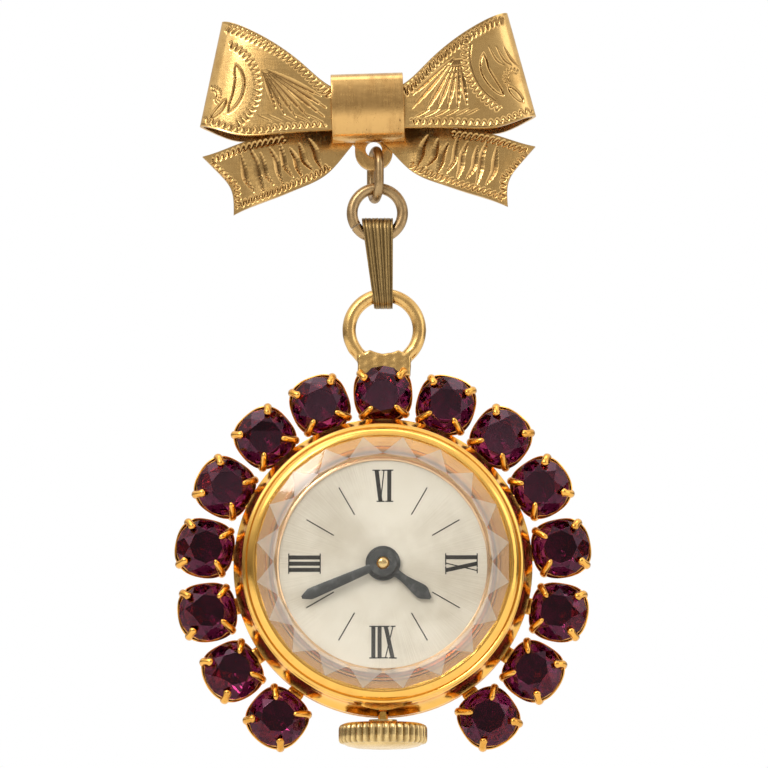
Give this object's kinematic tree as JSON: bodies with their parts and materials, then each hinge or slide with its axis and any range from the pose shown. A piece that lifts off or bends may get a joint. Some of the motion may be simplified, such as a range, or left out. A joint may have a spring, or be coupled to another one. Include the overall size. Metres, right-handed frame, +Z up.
{
  "type": "fob watch",
  "caption": "Bow brooch with a short chain carrying a small round wind-up watch, upside down, ringed with claw-set purple stones.",
  "frame": {"origin": "middle of the flat rear face of the brooch bar, which lies on the wearer's cloth", "axes": "+Y out of the rear face towards the wearer, -Y towards the viewer, +Z up, +X to the viewer's right; the chain and the watch hang along -Z"},
  "size_m": [0.0328, 0.0098, 0.0585],
  "materials": {
    "gilt": "warm gilt over brass, engraved or polished, rubbed at the edges",
    "old_brass": "dull brown worn brass",
    "champagne": "pale champagne gilt",
    "movement_brass": "satin gilt brass",
    "steel": "plain bright steel",
    "blackened_steel": "blackened, slightly worn",
    "silvered": "silvered sunray dial with black numerals",
    "acrylic": "clear acrylic with a faceted rim",
    "amethyst": "dark purple faceted glass"
  },
  "bodies": {
    "brooch": {"back_bar": "gilt", "bow_loops": "gilt", "bow_tails": "gilt", "bow_knot": "gilt", "hanging_eye": "gilt", "pin_hinge": "gilt", "hinge_rivet": "gilt", "catch_base": "gilt"},
    "pin": {"brooch_pin": "steel"},
    "catch": {"catch_roller": "gilt"},
    "link": {"oval_link": "old_brass"},
    "ring": {"jump_ring": "old_brass"},
    "strap": {"strap_link": "old_brass"},
    "watch": {"pendant_ring": "gilt", "claw_frame": "gilt", "stone_01": "amethyst", "stone_02": "amethyst", "stone_03": "amethyst", "stone_04": "amethyst", "stone_05": "amethyst", "stone_06": "amethyst", "stone_07": "amethyst", "stone_08": "amethyst", "stone_09": "amethyst", "stone_10": "amethyst", "stone_11": "amethyst", "stone_12": "amethyst", "stone_13": "amethyst", "stone_14": "amethyst", "stone_15": "amethyst", "case_band": "gilt", "bezel": "gilt", "crystal": "acrylic", "case_back": "champagne", "dial_ring": "gilt", "dial": "silvered", "main_plate": "movement_brass", "barrel_bridge": "steel", "train_bridge": "steel", "balance_cock": "steel", "hairspring": "steel"},
    "minute": {"minute_hand": "blackened_steel", "cannon_pinion": "steel", "centre_wheel": "movement_brass"},
    "hour": {"hour_hand": "blackened_steel", "hour_wheel": "movement_brass"},
    "minute_gear": {"minute_wheel": "movement_brass"},
    "third_gear": {"third_wheel": "movement_brass"},
    "barrel_gear": {"barrel": "movement_brass"},
    "escape": {"escape_wheel": "steel"},
    "fourth_gear": {"fourth_wheel": "movement_brass"},
    "balance": {"balance_wheel": "movement_brass"},
    "pallet": {"pallet_lever": "steel"},
    "stem_pinion": {"winding_pinion": "steel"},
    "stem": {"winding_stem": "steel", "crown": "champagne"},
    "ratchet": {"ratchet_wheel": "steel"},
    "crown_gear": {"crown_wheel": "steel"},
    "setting": {"setting_lever": "steel"}
  },
  "joints": [
    {"name": "pin_open", "type": "hinge", "parent": "brooch", "child": "pin", "pos_m": [-0.0092, 0.0019, 0], "axis": [0, 0, 1], "range_deg": [0, 80]},
    {"name": "catch_turn", "type": "hinge", "parent": "brooch", "child": "catch", "pos_m": [0.0089, 0.0019, 0], "axis": [-1, 0, 0], "range_deg": [0, 150]},
    {"name": "link_sway", "type": "hinge", "parent": "brooch", "child": "link", "pos_m": [0.00062, -0.0012, -0.0034], "axis": [0, 1, 0], "range_deg": [-25, 25]},
    {"name": "ring_tilt", "type": "hinge", "parent": "link", "child": "ring", "pos_m": [0.00078, -0.0012, -0.0064], "axis": [-1, 0, 0], "range_deg": [-30, 50]},
    {"name": "strap_turn", "type": "hinge", "parent": "ring", "child": "strap", "pos_m": [0.00078, -0.0012, -0.0084], "axis": [0, 1, 0], "range_deg": [-35, 35]},
    {"name": "watch_tilt", "type": "hinge", "parent": "strap", "child": "watch", "pos_m": [0.00133, -0.0012, -0.01502], "axis": [-1, 0, 0], "range_deg": [-20, 100]},
    {"name": "minute_turn", "type": "hinge", "parent": "watch", "child": "minute", "pos_m": [0.00123, -0.0012, -0.0367], "axis": [0, 1, 0], "continuous": true},
    {"name": "hour_turn", "type": "hinge", "parent": "watch", "child": "hour", "pos_m": [0.00123, -0.0012, -0.0367], "axis": [0, 1, 0], "continuous": true},
    {"name": "minute_wheel_turn", "type": "hinge", "parent": "watch", "child": "minute_gear", "pos_m": [0.00363, -0.0012, -0.0357], "axis": [0, 1, 0], "continuous": true},
    {"name": "third_wheel_turn", "type": "hinge", "parent": "watch", "child": "third_gear", "pos_m": [0.00063, -0.0012, -0.03335], "axis": [0, 1, 0], "continuous": true},
    {"name": "barrel_turn", "type": "hinge", "parent": "watch", "child": "barrel_gear", "pos_m": [-0.00223, -0.0012, -0.0387], "axis": [0, 1, 0], "continuous": true},
    {"name": "escape_turn", "type": "hinge", "parent": "watch", "child": "escape", "pos_m": [0.00563, -0.0012, -0.03315], "axis": [0, 1, 0], "continuous": true},
    {"name": "fourth_wheel_turn", "type": "hinge", "parent": "watch", "child": "fourth_gear", "pos_m": [0.00323, -0.0012, -0.0328], "axis": [0, 1, 0], "continuous": true},
    {"name": "balance_swing", "type": "hinge", "parent": "watch", "child": "balance", "pos_m": [0.00553, -0.0012, -0.0384], "axis": [0, 1, 0], "range_deg": [-220, 220], "stiffness_Nm_per_rad": 0.00000008},
    {"name": "pallet_rock", "type": "hinge", "parent": "watch", "child": "pallet", "pos_m": [0.00633, -0.0012, -0.03525], "axis": [0, 1, 0], "range_deg": [-6, 6]},
    {"name": "crown_turn", "type": "hinge", "parent": "watch", "child": "stem_pinion", "pos_m": [0.00123, -0.0021, -0.0434], "axis": [0, 0, 1], "continuous": true},
    {"name": "crown_pull", "type": "slide", "parent": "stem_pinion", "child": "stem", "axis": [0, 0, -1], "range_m": [0, 0.0006]},
    {"name": "ratchet_turn", "type": "hinge", "parent": "watch", "child": "ratchet", "pos_m": [-0.00223, -0.0012, -0.0387], "axis": [0, 1, 0], "continuous": true},
    {"name": "crown_wheel_turn", "type": "hinge", "parent": "watch", "child": "crown_gear", "pos_m": [0.00003, -0.0012, -0.0417], "axis": [0, 1, 0], "continuous": true},
    {"name": "setting_lever_rock", "type": "hinge", "parent": "watch", "child": "setting", "pos_m": [0.00343, -0.00245, -0.0434], "axis": [0, 1, 0], "range_deg": [0, 20]}
  ],
  "couplings": [
    {"joint": "hour_turn", "follows": "minute_turn", "ratio": 0.083333},
    {"joint": "minute_wheel_turn", "follows": "minute_turn", "ratio": -0.3333},
    {"joint": "third_wheel_turn", "follows": "minute_turn", "ratio": -8},
    {"joint": "barrel_turn", "follows": "minute_turn", "ratio": -0.1429},
    {"joint": "fourth_wheel_turn", "follows": "escape_turn", "ratio": -0.1},
    {"joint": "pallet_rock", "follows": "balance_swing", "ratio": -0.0227},
    {"joint": "ratchet_turn", "follows": "crown_turn", "ratio": 0.4},
    {"joint": "crown_wheel_turn", "follows": "crown_turn", "ratio": -0.6667},
    {"joint": "setting_lever_rock", "follows": "crown_pull", "rad_per_m": 500}
  ]
}
